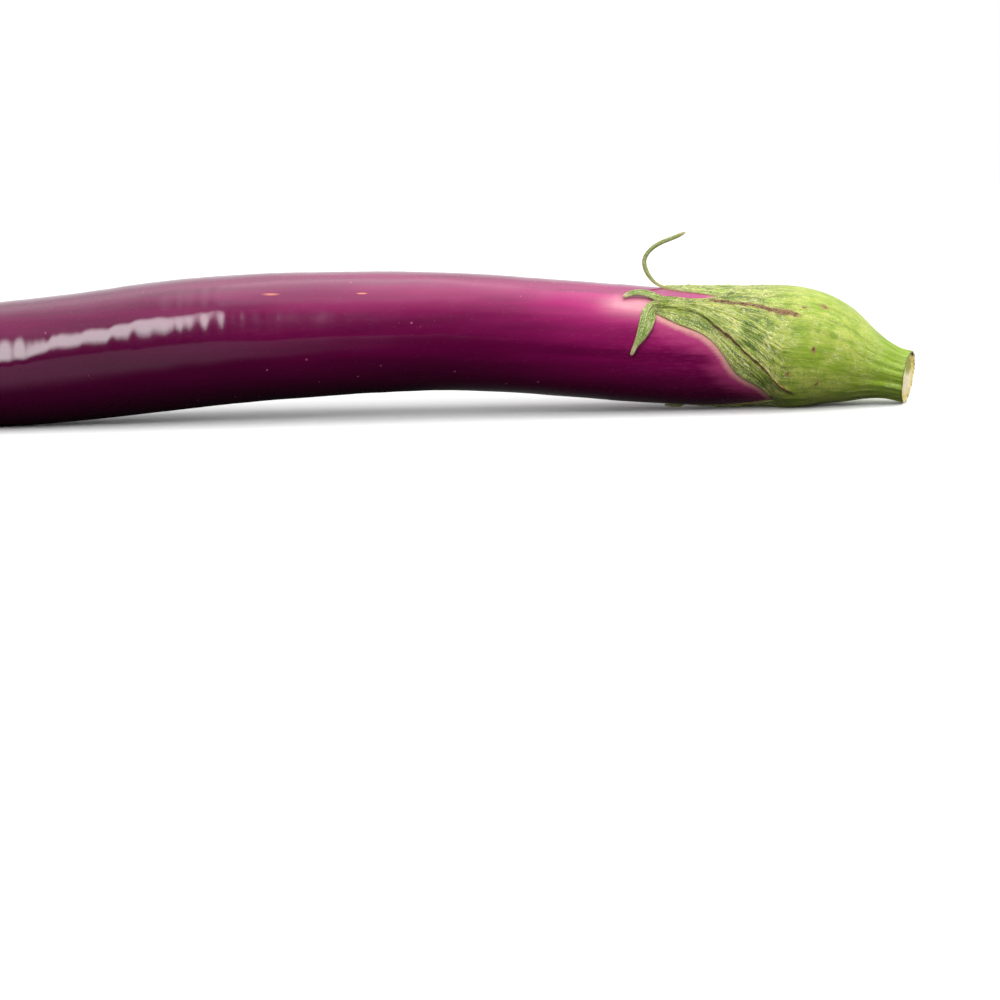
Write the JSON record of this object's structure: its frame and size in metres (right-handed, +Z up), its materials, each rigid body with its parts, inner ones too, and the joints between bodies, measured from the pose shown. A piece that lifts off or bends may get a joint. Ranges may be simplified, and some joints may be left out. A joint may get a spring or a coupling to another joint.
{
  "type": "long eggplant",
  "caption": "Long slender eggplant lying on its side, glossy purple fruit with a lobed green calyx, curled dry lobe tips and a short cut stem.",
  "frame": {"origin": "middle of the underside: on the surface that the eggplant lies on, below the middle of its box", "axes": "+X along the eggplant from the blossom end to the cut stem, +Z up, -Y the side that shows the calyx's long lobe"},
  "size_m": [0.3208, 0.0405, 0.053],
  "materials": {
    "fruit_skin": "smooth waxy skin, dark purple to magenta, pale pink beside the calyx",
    "calyx_green": "fibrous, finely haired, yellow-green with brown dry rib edges",
    "stem_green": "furrowed lengthwise, with a dry cream cut face"
  },
  "bodies": {
    "root": {"fruit": "fruit_skin", "calyx": "calyx_green", "stem": "stem_green"}
  },
  "joints": []
}
